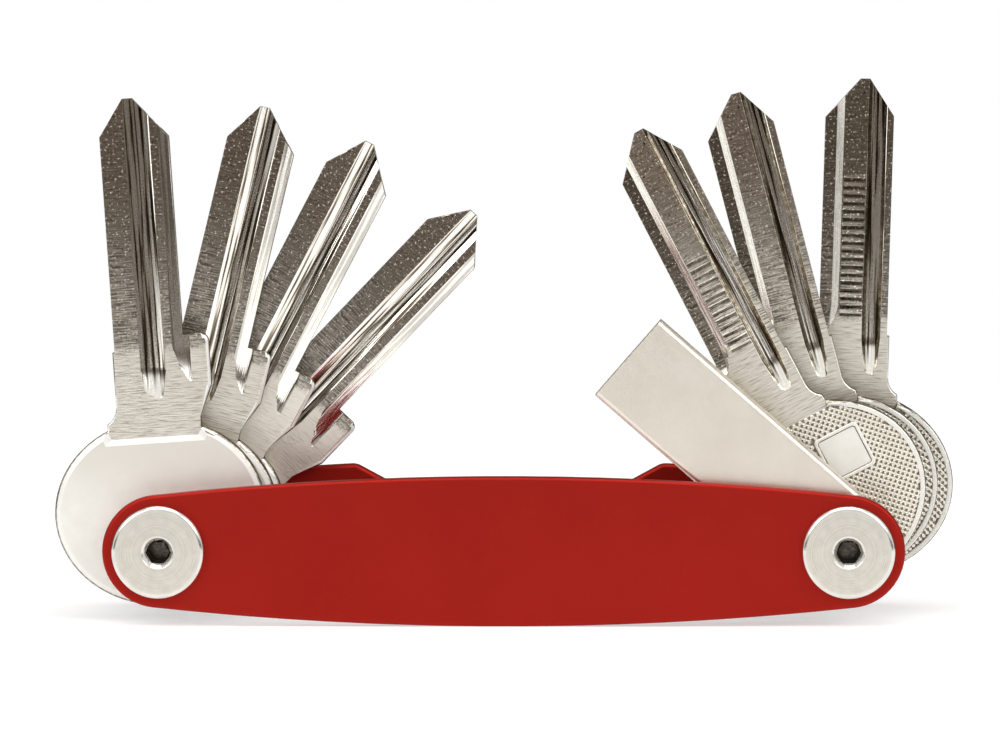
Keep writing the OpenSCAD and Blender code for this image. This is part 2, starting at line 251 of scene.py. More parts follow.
turned_stops = [(0.25, (0.58, 0.545, 0.48)), (0.75, (0.84, 0.805, 0.73))]
ring_scale = 75.0
ring_detail = 3.0
ring_share = 0.6
ring_depth = 0.012


def turned_steel():
    """Lathe-turned stainless steel: rings about the post and a slow cloud."""
    material, tree, shader = new_material("turned_steel")
    place = add_flat(tree)
    radius = add_node(tree, "ShaderNodeVectorMath", {0: place}, operation="LENGTH").outputs["Value"]
    rings = add_node(tree, "ShaderNodeTexNoise", {"W": radius, "Scale": ring_scale, "Detail": ring_detail},
                     noise_dimensions="1D").outputs["Fac"]
    blotch = add_grain(tree, place, grain=420.0, blotch=7.0)[1]
    cloud = add_range(tree, blotch, low=0.1, high=0.3)
    tone = add_math(tree, "MULTIPLY_ADD", rings, ring_share, cloud)
    feed(tree, shader.inputs["Base Color"], add_ramp(tree, tone, turned_stops))
    feed(tree, shader.inputs["Roughness"], add_range(tree, rings, low=0.28, high=0.42))
    shader.inputs["Metallic"].default_value = 1.0
    add_bump(tree, rings, shader, ring_depth)
    return material


def grained(name, dark, light, grain, blotch, smooth, rough, metallic=0.0, dents=0.0, flat=False):
    """A finish with slow blotches from dark to light, and a fine grain from smooth to rough.

    `grain` and `blotch` are their scales, and `dents` is the depth of the grain in mm. A flat finish follows
    the piece's own UV map.
    """
    material, tree, shader = new_material(name)
    place = add_flat(tree) if flat else tree.nodes.new("ShaderNodeTexCoord").outputs["Object"]
    grains, blotches = add_grain(tree, place, grain, blotch)
    feed(tree, shader.inputs["Base Color"], add_ramp(tree, blotches, [(0.0, dark), (1.0, light)]))
    feed(tree, shader.inputs["Roughness"], add_range(tree, grains, smooth, rough))
    shader.inputs["Metallic"].default_value = metallic
    if dents:
        add_bump(tree, grains, shader, dents)
    return material


# Polished rim of a head, with faint lathe marks.
polished_rim = grained("polished_steel", dark=(0.66, 0.64, 0.59), light=(0.78, 0.765, 0.72),
                       grain=1500.0, blotch=420.0, smooth=0.08, rough=0.2, metallic=1.0)
# Inside of a hexagon socket, painted near black as shade in the deep recess.
shaded_socket = grained("shaded_socket", dark=(0.035, 0.03, 0.024), light=(0.13, 0.115, 0.095),
                       grain=2400.0, blotch=700.0, smooth=0.2, rough=0.4, metallic=1.0)
TURNED, RIM, SOCKET = range(3)
post_metals = [turned_steel(), polished_rim, shaded_socket]
left_post = Vector(joint_of("left_key_1")["pos_m"])
right_post = Vector(joint_of("usb_stick")["pos_m"])
socket_radius = 1.5 * MM
head_facing = 0.97
head_edge = 0.06


def dress_post(node, post):
    """Finishes a screw or sleeve, mapped about its post: a turned face, a polished rim and a socket painted
    dark as shade.
    """
    piece = soft_copy(node, head_edge)
    for metal in post_metals:
        piece.data.materials.append(metal)
    lay_uv(piece, lambda co: (co.x - post.x, co.z - post.z))
    points = piece.data.vertices
    for face in piece.data.polygons:
        radius = max(math.hypot(points[v].co.x - post.x, points[v].co.z - post.z) for v in face.vertices)
        if radius < socket_radius:
            face.material_index = SOCKET
        else:
            face.material_index = TURNED if abs(face.normal.y) > head_facing else RIM
    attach(piece, "root")
    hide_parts(node)


dress_post("left_sleeve", left_post)
dress_post("right_sleeve", right_post)

# Side plates: sheet aluminium, milled to a lens outline, bead-blasted and anodised red. Their edges are
# rounded over all round, and the back plate has a shallow notch so that a finger reaches the keys.

# Red anodised aluminium with the fine dull grain of bead blasting.
anodised_red = grained("anodised_red", dark=(0.325, 0.011, 0.0058), light=(0.355, 0.0135, 0.0072),
                       grain=5200.0, blotch=60.0, smooth=0.42, rough=0.54, metallic=0.85, dents=0.006)
plate_round = 0.55
plate_steps = 4
for plate_node in ("back_plate", "front_plate"):
    plate = soft_copy(plate_node, plate_round, plate_steps)
    plate.data.materials.append(anodised_red)
    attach(plate, "root")
    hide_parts(plate_node)

# Spacers and washers: rings of natural nylon, cut from tube, that fill each post where the other post's
# keys have their layers. They keep the keys apart and let them slide.

# Milky nylon with a soft mottle and faint saw marks.
natural_nylon = grained("natural_nylon", dark=(0.66, 0.64, 0.57), light=(0.76, 0.745, 0.68),
                        grain=2600.0, blotch=350.0, smooth=0.42, rough=0.6, dents=0.01)
nylon_shader = natural_nylon.node_tree.nodes["Principled BSDF"]
nylon_shader.inputs["Subsurface Weight"].default_value = 0.15
nylon_shader.inputs["Subsurface Radius"].default_value = (1.0 * MM, 0.9 * MM, 0.8 * MM)
ring_edge = 0.1
left_rings = ["left_front_spacer", "left_spacer_1", "left_spacer_2", "left_spacer_3", "left_washer"]
right_rings = ["right_washer", "right_spacer_1", "right_spacer_2", "right_spacer_3", "right_spacer_4"]
for node in left_rings + right_rings:
    ring = soft_copy(node, ring_edge)
    ring.data.materials.append(natural_nylon)
    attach(ring, "root")
    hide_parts(node)

# Key blanks: stamped from nickel-plated brass. The bow is coined smooth with a polished edge, the neck keeps
# the brushing of the strip, and the blade is milled. Its grooves carry painted reflections and highlights,
# its lands are painted darker as a dark reflection, and the edges carry painted shade.

upright = 90.0


def key_frame(body):
    """A key's own frame: a local function, the post and the key's lean.

    The function turns a point into its place across, along and through the key.
    """
    joint = joint_of(body)
    post = joint["pos_m"]
    folded = joint["range_deg"][1]
    lean = math.radians(upright - folded if joint["axis"][1] > 0 else folded - upright)
    low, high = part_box(body)
    middle = (low.y + high.y) / 2

    def local(co):
        x = co.x - post[0]
        z = co.z - post[2]
        across = x * math.cos(lean) - z * math.sin(lean)
        along = x * math.sin(lean) + z * math.cos(lean)
        return across, along, co.y - middle
    return local, Vector((post[0], middle, post[2])), lean


line_detail = 3.0


def add_lines(tree, place, across, along):
    """Noise drawn out into fine lines, with its scale across and along the key."""
    stretch = add_node(tree, "ShaderNodeMapping", {"Vector": place, "Scale": (across, along, 1.0)})
    lines = add_node(tree, "ShaderNodeTexNoise", {"Vector": stretch.outputs["Vector"], "Scale": 1.0,
                                                  "Detail": line_detail})
    return lines.outputs["Fac"]


def add_mix(tree, factor, first, second):
    """Mixes two colours by a factor."""
    return add_node(tree, "ShaderNodeMix", {"Factor": factor, "A": first, "B": second},
                    data_type="RGBA").outputs["Result"]


def add_tint(tree, colour, shade):
    """Multiplies a colour by a grey or a colour."""
    return add_node(tree, "ShaderNodeMix", {"Factor": 1.0, "A": colour, "B": shade},
                    data_type="RGBA", blend_type="MULTIPLY").outputs["Result"]


def add_fade(tree, value, start, stop):
    """A smooth step of a value from 0 at start to 1 at stop."""
    return add_node(tree, "ShaderNodeMapRange", {"Value": value, "From Min": start, "From Max": stop},
                    interpolation_type="SMOOTHSTEP").outputs["Result"]


def add_split(tree, place):
    """The X, Y and Z outputs of a coordinate."""
    return add_node(tree, "ShaderNodeSeparateXYZ", {"Vector": place}).outputs


bow_clean = [(0.0, (0.87, 0.85, 0.785)), (1.0, (0.94, 0.925, 0.87))]
bow_worn = [(0.0, (0.68, 0.64, 0.56)), (1.0, (0.90, 0.87, 0.80))]
bow_wear_length = 0.95


def coined_bow(name, top):
    """Smooth satin nickel of a coined bow, greyer and speckled near the neck, which starts at `top` cm."""
    material, tree, shader = new_material(name)
    place = add_flat(tree)
    grain, blotch = add_grain(tree, place, grain=170.0, blotch=4.0)
    near_neck = add_fade(tree, add_split(tree, place)["Y"], start=top - bow_wear_length, stop=top)
    colour = add_mix(tree, near_neck, add_ramp(tree, blotch, bow_clean), add_ramp(tree, grain, bow_worn))
    feed(tree, shader.inputs["Base Color"], colour)
    feed(tree, shader.inputs["Roughness"], add_range(tree, grain, low=0.34, high=0.46))
    shader.inputs["Metallic"].default_value = 0.55
    add_bump(tree, grain, shader, depth=0.004)
    return material


# Painted shade: key edges run from dark brown to light nickel, and a dark tint browns their reflection at a
# flat angle.
edge_shade_stops = [(0.1, (0.21, 0.185, 0.148)), (0.6, (0.40, 0.365, 0.305)), (1.0, (0.70, 0.67, 0.61))]
edge_glance_shade = (0.16, 0.125, 0.085, 1.0)


def polished_shaded_edge():
    """Polished nickel of key edges, blotched with painted shade; a dark tint paints its flat-angle
    reflection brown.
    """
    material, tree, shader = new_material("polished_shaded_edge")
    grain, blotch = add_grain(tree, add_flat(tree), grain=90.0, blotch=14.0)
    feed(tree, shader.inputs["Base Color"], add_ramp(tree, blotch, edge_shade_stops))
    feed(tree, shader.inputs["Roughness"], add_range(tree, grain, low=0.1, high=0.24))
    shader.inputs["Metallic"].default_value = 1.0
    shader.inputs["Specular Tint"].default_value = edge_glance_shade
    add_bump(tree, blotch, shader, depth=0.003)
    return material


brushed_neck = [(0.35, (0.46, 0.415, 0.345)), (0.45, (0.74, 0.695, 0.61)), (0.66, (0.86, 0.82, 0.75))]
# A lighter copy of the neck's brushing, painted brighter for necks that lie in the shade of the front keys.
painted_light_neck = [(0.35, (0.72, 0.665, 0.57)), (0.45, (0.95, 0.905, 0.81)), (0.66, (0.98, 0.945, 0.865))]
# Painted shade and glints on the land: dark pits, which are real dimples, and light flecks.
pit_shade_stops = [(0.0, (0.12, 0.10, 0.08)), (1.0, (0.035, 0.026, 0.02))]
fleck_glint_stops = [(0.0, (0.82, 0.79, 0.72)), (1.0, (0.74, 0.69, 0.62))]
land_length = 2.4
foot_ragged = 0.12
foot_blur = 0.02
grain_relief = 0.4
strip_depth = 0.03


def strip_face(name, foot, land_stops, neck_stops=brushed_neck, smooth=0.24, rough=0.38, metallic=1.0):
    """Flat face of neck and blade: brushed nickel, with a scored land above the foot, painted darker towards
    the tip as a dark reflection, and dotted with dark pits, real dimples painted in shade, and light flecks,
    painted glints.

    `foot` is in cm from the post, and the stops are colour ramps, up the land and over the neck's brushing.
    """
    material, tree, shader = new_material(name)
    place = add_flat(tree)
    from_post = add_split(tree, place)["Y"]
    brush = add_lines(tree, place, across=4.5, along=66.0)
    grain = add_grain(tree, place, grain=32.0, blotch=9.0)[0]
    height = add_fade(tree, from_post, start=foot, stop=foot + land_length)
    scores = add_range(tree, add_fade(tree, brush, start=0.34, stop=0.66), low=-0.65, high=0.75)
    scoring = add_range(tree, height, low=1.0, high=0.3)
    scored = add_tint(tree, add_ramp(tree, height, land_stops),
                      add_math(tree, "MULTIPLY_ADD", scores, scoring, 1.0))
    pit_shaded = add_mix(tree, add_fade(tree, grain, start=0.24, stop=0.04), scored,
                     add_ramp(tree, height, pit_shade_stops))
    land = add_mix(tree, add_fade(tree, grain, start=0.76, stop=0.94), pit_shaded,
                   add_ramp(tree, height, fleck_glint_stops))
    ragged = add_math(tree, "MULTIPLY_ADD", grain, foot_ragged, from_post)
    above = add_fade(tree, ragged, start=foot - foot_blur, stop=foot + foot_ragged)
    feed(tree, shader.inputs["Base Color"], add_mix(tree, above, add_ramp(tree, brush, neck_stops), land))
    feed(tree, shader.inputs["Roughness"], add_range(tree, brush, smooth, rough))
    shader.inputs["Metallic"].default_value = metallic
    add_bump(tree, add_math(tree, "MULTIPLY_ADD", grain, grain_relief, brush), shader, strip_depth)
    return material


# Painted reflections: a groove's streaks run from near black to white, and its run-out is painted bright as
# a highlight.
streak_reflection_stops = [(0.40, (0.055, 0.04, 0.028)), (0.45, (0.34, 0.29, 0.22)),
                (0.485, (0.80, 0.75, 0.66)), (0.58, (0.96, 0.94, 0.90))]
run_out_highlight_stops = [(0.0, (0.84, 0.80, 0.71)), (1.0, (0.95, 0.93, 0.88))]
run_out_end = 0.4
run_out_full = 0.05
run_out_sweep = 5.0
groove_depth = 0.05


def bright_groove(name, foot, slope_from, slope_to, slope_highlight):
    """Cutter finish of a groove: dark and white streaks along the key, painted reflections of the room in
    its walls, which fade into a bright run-out at the foot, a painted highlight; the streaks also give its
    bump.

    `foot` is in cm from the post. The slope beside the groove, past `slope_from` to `slope_to` cm across the
    key, is painted bright all along as a highlight, by the share `slope_highlight`.
    """
    material, tree, shader = new_material(name)
    place = add_flat(tree)
    streaks = add_lines(tree, place, across=24.0, along=0.6)
    grain, blotch = add_grain(tree, place, grain=60.0, blotch=20.0)
    split = add_split(tree, place)
    run_out = add_fade(tree, split["Y"], start=foot + run_out_end, stop=foot + run_out_full)
    beside = add_fade(tree, split["X"], slope_from, slope_to)
    either = add_math(tree, "MAXIMUM", run_out, add_range(tree, beside, low=0.0, high=slope_highlight))
    colour = add_mix(tree, either, add_ramp(tree, streaks, streak_reflection_stops),
                     add_ramp(tree, blotch, run_out_highlight_stops))
    feed(tree, shader.inputs["Base Color"], colour)
    feed(tree, shader.inputs["Roughness"], add_range(tree, grain, low=0.06, high=0.2))
    shader.inputs["Metallic"].default_value = 1.0
    add_bump(tree, add_math(tree, "MULTIPLY_ADD", run_out, run_out_sweep, streaks), shader, groove_depth)
    return material


edge_metal = polished_shaded_edge()
# Light satin slope round a coined bow, painted brighter than its face as a highlight on the slope.
ring_metal = grained("coined_ring", dark=(0.93, 0.915, 0.87), light=(0.97, 0.955, 0.915),
                     grain=150.0, blotch=9.0, smooth=0.3, rough=0.4, metallic=0.4, flat=True)
BOW, EDGE, FACE, GROOVE, FIELD, STEP, RING = range(7)
face_depth = 0.87 * MM
proud_depth = 0.91 * MM
wall_facing = 0.3
side_facing = 0.5
front_facing = 0.9
rim_facing = 0.95
slope_top = 0.985
shoulder_round = 0.6 * MM
shoulder_steps = 4
shoulder_from = 4.6 * MM
shoulder_wide = 6.0 * MM
shoulder_rise = 1.1 * MM
outline_round = 0.24 * MM
outline_steps = 3
key_edge = 0.1 * MM
key_edge_steps = 2
long_edge = 2.0 * MM
sharp_angle = math.radians(10.0)


def dress_key(body, metals, bow_top, neck_top, step_edge):
    """Finishes one key: soft edges, a UV map along the key and a metal for each zone of it.

    Bow and neck are rounded more, up to `neck_top`, and the neck's shoulder is rolled over. The floor of a
    cut beyond `step_edge` is a step; its metal is painted darker as shade.
    """
    local = key_frame(body)[0]

    def round_key(work):
        """Rounds the shoulder, the outline of bow and neck and the long edges; other corners stay sharp."""
        rounded = work.faces.layers.int.new("rounded")

        def is_corner(edge):
            """True where two faces meet at an angle, neither of them part of a rounding."""
            return (len(edge.link_faces) == 2 and edge.calc_face_angle() > sharp_angle
                    and not any(face[rounded] for face in edge.link_faces))

        def is_outline(edge):
            """True for a convex edge between a front or back face and a side wall."""
            facings = sorted(abs(face.normal.y) for face in edge.link_faces)
            return (len(facings) == 2 and facings[0] < wall_facing and facings[1] > front_facing
                    and edge.is_convex)

        def on_shoulder(edge):
            """True for an edge on the wide side of the neck, up to its shoulder."""
            across, along = zip(*(local(corner.co)[:2] for corner in edge.verts))
            return (min(across) > shoulder_from and max(across) > shoulder_wide
                    and bow_top < min(along) < neck_top + shoulder_rise)

        def bevel(edges, width, steps):
            """Rounds edges and marks the faces that this makes."""
            made = bmesh.ops.bevel(work, geom=edges, offset=width, offset_type="OFFSET", segments=steps,
                                   profile=0.5, affect="EDGES", clamp_overlap=False)
            for face in made["faces"]:
                face[rounded] = 1

        bevel([edge for edge in work.edges if is_outline(edge) and on_shoulder(edge)],
              shoulder_round, shoulder_steps)
        bevel([edge for edge in work.edges if is_outline(edge)
               and max(local(corner.co)[1] for corner in edge.verts) < neck_top],
              outline_round, outline_steps)
        bevel([edge for edge in work.edges if is_corner(edge) and edge.is_convex
               and edge.calc_length() > long_edge], key_edge, key_edge_steps)
        bmesh.ops.dissolve_degenerate(work, edges=work.edges, dist=merge_gap)
        for edge in work.edges:
            edge.smooth = not is_corner(edge)
        work.faces.layers.int.remove(rounded)

    piece = plain_copy(body, shape=round_key)
    even_shading(piece)
    for metal in metals:
        piece.data.materials.append(metal)
    lay_uv(piece, lambda co: local(co)[:2])
    for face in piece.data.polygons:
        across, along, through = local(face.center)
        facing = abs(face.normal.y)
        if along < bow_top or abs(through) > proud_depth:
            face.material_index = BOW if facing > rim_facing else EDGE
            if facing > rim_facing and abs(through) < face_depth:
                face.material_index = FIELD
            elif rim_facing < facing < slope_top:
                face.material_index = RING
        elif facing < side_facing:
            face.material_index = EDGE
        elif across > shoulder_wide and facing < rim_facing:
            face.material_index = RING
        elif abs(through) > face_depth:
            face.material_index = FACE
        elif across < step_edge and facing > rim_facing:
            face.material_index = STEP
        else:
            face.material_index = GROOVE
    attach(piece, body)
    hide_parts(body)


left_bow_top = 13.6 * MM
left_neck_top = 25.0 * MM
left_step_edge = -8.0 * MM
left_foot = 2.49
# Painted dark reflection on the left keys' lands, darker towards the tip.
left_land_reflection = [(0.0, (0.32, 0.29, 0.245)), (0.45, (0.21, 0.183, 0.15)), (1.0, (0.145, 0.112, 0.084))]
smooth_bow = coined_bow("coined_bow", top=1.38)
left_strip = strip_face("left_strip", left_foot, left_land_reflection)
# Keys 3 and 4 lie behind the others; their necks take the lighter copy, painted brighter to offset that
# shade.
painted_light_strip = strip_face("painted_light_strip", left_foot, left_land_reflection, painted_light_neck,
                          smooth=0.1, rough=0.2, metallic=0.5)
left_groove = bright_groove("left_groove", foot=1.84, slope_from=0.2, slope_to=0.24, slope_highlight=0.6)
for number, strip in ((1, left_strip), (2, left_strip), (3, painted_light_strip), (4, painted_light_strip)):
    metals = [smooth_bow, edge_metal, strip, left_groove, smooth_bow, strip, ring_metal]
    dress_key("left_key_%d" % number, metals, left_bow_top, left_neck_top, left_step_edge)

# Knurled keys: like blanks on the right post. Their bows have a sunk field on both faces, pressed full of
# small pyramids for grip, round a plain pad. The main land of two of the blades keeps the ribs of a coarse
# mill.

# Painted shade in the knurl: dark at the field's floor, bright on the crests.
knurl_shade_stops = [(0.05, (0.33, 0.295, 0.24)), (0.3, (0.68, 0.635, 0.555)), (0.65, (0.95, 0.925, 0.865))]
cloud_stops = [(0.0, (0.9, 0.9, 0.9)), (1.0, (1.0, 1.0, 1.0))]


def knurled_bow():
    """Nickel of the pressed pyramids, painted by their rise: the gaps near black as shade, the crests
    bright.
    """
    material, tree, shader = new_material("knurled_bow")
    grain, blotch = add_grain(tree, add_flat(tree), grain=170.0, blotch=4.0)
    rise = add_node(tree, "ShaderNodeAttribute", {}, attribute_name="rise").outputs["Fac"]
    colour = add_tint(tree, add_ramp(tree, rise, knurl_shade_stops), add_ramp(tree, blotch, cloud_stops))
    feed(tree, shader.inputs["Base Color"], colour)
    feed(tree, shader.inputs["Roughness"], add_range(tree, grain, low=0.26, high=0.38))
    shader.inputs["Metallic"].default_value = 1.0
    return material


right_bow_top = 16.3 * MM
right_neck_top = 26.0 * MM
right_step_edge = -2.75 * MM
right_foot = 2.79
step_foot = 2.6
# Painted dark reflection on each right key's land, darker towards the tip, and darkest on the third key,
# which lies deepest in the others' shade.
right_land_shades = [
    [(0.0, (0.56, 0.515, 0.445)), (0.45, (0.38, 0.34, 0.285)), (1.0, (0.23, 0.185, 0.14))],
    [(0.0, (0.48, 0.44, 0.375)), (0.45, (0.31, 0.275, 0.23)), (1.0, (0.19, 0.148, 0.112))],
    [(0.0, (0.24, 0.215, 0.18)), (0.45, (0.15, 0.13, 0.105)), (1.0, (0.12, 0.094, 0.07))]]
# The step's sunk floor beside the edge is painted darker still, as shade.
step_land_shade = [(0.0, (0.22, 0.19, 0.155)), (0.45, (0.14, 0.12, 0.095)), (1.0, (0.10, 0.08, 0.06))]
pressed_bow = coined_bow("pressed_bow", top=2.6)
knurl_metal = knurled_bow()
step_floor = strip_face("step_floor", step_foot, step_land_shade)
right_groove = bright_groove("right_groove", foot=2.06, slope_from=0.05, slope_to=0.0, slope_highlight=1.0)
right_strips = {}
for number, land in enumerate(right_land_shades, start=1):
    strip = strip_face("right_strip_%d" % number, right_foot, land)
    right_strips[number] = strip
    # The floor of the sunk field takes the knurl metal with no rise, so it is painted dark as shade.
    metals = [pressed_bow, edge_metal, strip, right_groove, knurl_metal, step_floor, pressed_bow]
    dress_key("right_key_%d" % number, metals, right_bow_top, right_neck_top, right_step_edge)


def open_tree(name, numbers):
    """A Geometry Nodes tree with a count, these sizes and a metal as inputs.

    Returns the tree, the outputs that give these inputs, and its end node.
    """
    tree = bpy.data.node_groups.new(name, "GeometryNodeTree")
    add_sockets(tree, "INPUT", {"Count": "NodeSocketInt", **dict.fromkeys(numbers, "NodeSocketFloat"),
                                "Metal": "NodeSocketMaterial"})
    add_sockets(tree, "OUTPUT", {"Geometry": "NodeSocketGeometry"})
    return tree, tree.nodes.new("NodeGroupInput").outputs, tree.nodes.new("NodeGroupOutput")


def close_tree(tree, points, shape, metal, outlet, **chosen):
    """Ends a tree: a shape on each point, or on the chosen ones, made real and given its metal."""
    scatter = add_node(tree, "GeometryNodeInstanceOnPoints", {"Points": points, "Instance": shape, **chosen})
    real = add_node(tree, "GeometryNodeRealizeInstances", {"Geometry": scatter.outputs["Instances"]})
    painted = add_node(tree, "GeometryNodeSetMaterial", {
        "Geometry": real.outputs["Geometry"], "Material": metal})
    feed(tree, outlet.inputs["Geometry"], painted.outputs["Geometry"])


crest_share = 0.34
base_share = 0.64
overlap_share = 0.3
pyramid_sides = 8
knurl_turn = math.radians(45.0)


def knurl_tree():
    """Pyramids on a grid that stands on its corner, in an oval field.

    They reach up to and just under the field's rim, hub and pad.
    """
    tree, sizes, outlet = open_tree("pyramid_knurl", [
        "Pitch", "Height", "Half Width", "Half Height", "Centre", "Top", "Hub", "Pad Half", "Pad Across",
        "Pad Along"])
    span = add_math(tree, "MULTIPLY", add_math(tree, "SUBTRACT", sizes["Count"], 1.0), sizes["Pitch"])
    grid = add_node(tree, "GeometryNodeMeshGrid", {
        "Size X": span, "Size Y": span, "Vertices X": sizes["Count"], "Vertices Y": sizes["Count"]})
    centre = add_node(tree, "ShaderNodeCombineXYZ", {"Y": sizes["Centre"]})
    turn = add_node(tree, "GeometryNodeTransform", {
        "Geometry": grid.outputs["Mesh"], "Rotation": (0.0, 0.0, knurl_turn),
        "Translation": centre.outputs["Vector"]})
    place = add_split(tree, tree.nodes.new("GeometryNodeInputPosition").outputs["Position"])
    across = place["X"]
    along = place["Y"]
    overlap = add_math(tree, "MULTIPLY", sizes["Pitch"], overlap_share)
    pad_edge = add_math(tree, "SUBTRACT", sizes["Pad Half"], overlap)

    def off_pad(point, middle):
        """1 where a point is clear of the pad along one direction."""
        away = add_math(tree, "ABSOLUTE", add_math(tree, "SUBTRACT", point, middle))
        return add_math(tree, "GREATER_THAN", away, pad_edge)

    def round_off(middle_along, half_across, half_along):
        """Squared distance from a middle on the key's axis, as a share of an oval's half sizes."""
        shares = [add_math(tree, "DIVIDE", across, half_across),
                  add_math(tree, "DIVIDE", add_math(tree, "SUBTRACT", along, middle_along), half_along)]
        return add_math(tree, "ADD", *(add_math(tree, "MULTIPLY", share, share) for share in shares))

    field = round_off(sizes["Centre"], add_math(tree, "ADD", sizes["Half Width"], overlap),
                      add_math(tree, "ADD", sizes["Half Height"], overlap))
    above_centre = add_math(tree, "SUBTRACT", along, sizes["Centre"])
    hub = add_math(tree, "SUBTRACT", sizes["Hub"], overlap)
    pad_middle = add_math(tree, "ADD", sizes["Centre"], sizes["Pad Along"])
    below_top = add_math(tree, "LESS_THAN", above_centre, add_math(tree, "SUBTRACT", sizes["Top"], overlap))
    off_hub = add_math(tree, "GREATER_THAN", round_off(0.0, hub, hub), 1.0)
    clear = add_math(tree, "MAXIMUM", off_pad(across, sizes["Pad Across"]), off_pad(along, pad_middle))
    chosen = add_math(tree, "LESS_THAN", field, 1.0)
    for test in (below_top, off_hub, clear):
        chosen = add_math(tree, "MULTIPLY", chosen, test)
    pyramid = add_node(tree, "GeometryNodeMeshCone", {
        "Vertices": pyramid_sides, "Radius Bottom": add_math(tree, "MULTIPLY", sizes["Pitch"], base_share),
        "Radius Top": add_math(tree, "MULTIPLY", sizes["Pitch"], crest_share), "Depth": sizes["Height"]})
    close_tree(tree, turn.outputs["Geometry"], pyramid.outputs["Mesh"], sizes["Metal"], outlet,
               Selection=chosen)
    return tree


def grow(tree, name, values):
    """Runs a tree on an empty object with these input values, and returns the plain mesh."""
    holder = bpy.data.objects.new(name, bpy.data.meshes.new(name))
    bpy.context.scene.collection.objects.link(holder)
    modifier = holder.modifiers.new(name, "NODES")
    modifier.node_group = tree
    for socket in tree.interface.items_tree:
        if socket.in_out == "INPUT":
            modifier[socket.identifier] = values[socket.name]
    evaluated = holder.evaluated_get(bpy.context.evaluated_depsgraph_get())
    mesh = bpy.data.meshes.new_from_object(evaluated)
    bpy.data.objects.remove(holder)
    return mesh


FRONT, BACK = -1, 1


def face_matrix(post, lean, side, level):
    """Places a flat pattern on a key's front or back; `level` is its height above the key's middle."""
    across = Vector((math.cos(lean), 0.0, -math.sin(lean))) * -side
    along = Vector((math.sin(lean), 0.0, math.cos(lean)))
    outward = Vector((0.0, side, 0.0))
    turn = Matrix((across, along, outward)).transposed().to_4x4()
    return Matrix.Translation(post + outward * level) @ turn


def add_pattern(name, body, metals, sheets):
    """Joins patterns, each a mesh and its matrix, into one piece that rides on a key."""
    joined = bmesh.new()
    for mesh, matrix in sheets:
        mesh.transform(matrix)
        joined.from_mesh(mesh)
    mesh = bpy.data.meshes.new(name)
    joined.to_mesh(mesh)
    joined.free()
    for metal in metals:
        mesh.materials.append(metal)
    piece = bpy.data.objects.new(name, mesh)
    bpy.context.scene.collection.objects.link(piece)
    local = key_frame(body)[0]
    lay_uv(piece, lambda co: local(co)[:2])
    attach(piece, body)
    return piece


# The sizes of the bow's field, as its recess has them, and of the knurl in it.
field_floor = 0.85 * MM
pad_across = 5.0 * MM
knurl_height = 0.22 * MM
knurl_sunk = 0.02 * MM
knurl = knurl_tree()
knurl_sizes = {"Count": 57, "Pitch": 0.6 * MM, "Height": knurl_height + knurl_sunk,
               "Half Width": 12.4 * MM, "Half Height": 10.9 * MM, "Centre": 6.8 * MM, "Top": 9.6 * MM,
               "Hub": 4.8 * MM, "Pad Half": 3.1 * MM, "Pad Along": 3.6 * MM, "Metal": knurl_metal}
for number in right_strips:
    body = "right_key_%d" % number
    post, lean = key_frame(body)[1:]
    sheets = []
    for side in (FRONT, BACK):
        mesh = grow(knurl, body + "_knurl", {**knurl_sizes, "Pad Across": pad_across * -side})
        sheets.append((mesh, face_matrix(post, lean, side, field_floor - knurl_sunk)))
    piece = add_pattern(body + "_knurl", body, [knurl_metal], sheets)
    # The rise runs from 0 at the field's floor to 1 at the crests, and paints the knurl's shade.
    rises = piece.data.attributes.new("rise", "FLOAT", "POINT")
    for point, rise in zip(piece.data.vertices, rises.data):
        rise.value = (abs(point.co.y - post.y) - field_floor) / knurl_height


def rib_tree():
    """A row of low bars with sloping sides across a land."""
    tree, sizes, outlet = open_tree("mill_ribs", [
        "Pitch", "Width", "Foot", "Crest", "Height", "Across", "First"])
    first = add_node(tree, "ShaderNodeCombineXYZ", {"X": sizes["Across"], "Y": sizes["First"]})
    step = add_node(tree, "ShaderNodeCombineXYZ", {"Y": sizes["Pitch"]})
    row = add_node(tree, "GeometryNodeMeshLine", {
        "Count": sizes["Count"], "Start Location": first.outputs["Vector"],
        "Offset": step.outputs["Vector"]})
    half = add_math(tree, "MULTIPLY", sizes["Width"], 0.5)
    start = add_node(tree, "ShaderNodeCombineXYZ", {"X": add_math(tree, "MULTIPLY", half, -1.0)})
    end = add_node(tree, "ShaderNodeCombineXYZ", {"X": half})
    line = add_node(tree, "GeometryNodeCurvePrimitiveLine", {
        "Start": start.outputs["Vector"], "End": end.outputs["Vector"]})
    section = add_node(tree, "GeometryNodeCurvePrimitiveQuadrilateral", {
        "Bottom Width": sizes["Foot"], "Top Width": sizes["Crest"], "Height": sizes["Height"],
        "Offset": 0.0}, mode="TRAPEZOID")
    bar = add_node(tree, "GeometryNodeCurveToMesh", {
        "Curve": line.outputs["Curve"], "Profile Curve": section.outputs["Curve"], "Fill Caps": True})
    close_tree(tree, row.outputs["Mesh"], bar.outputs["Mesh"], sizes["Metal"], outlet)
    return tree


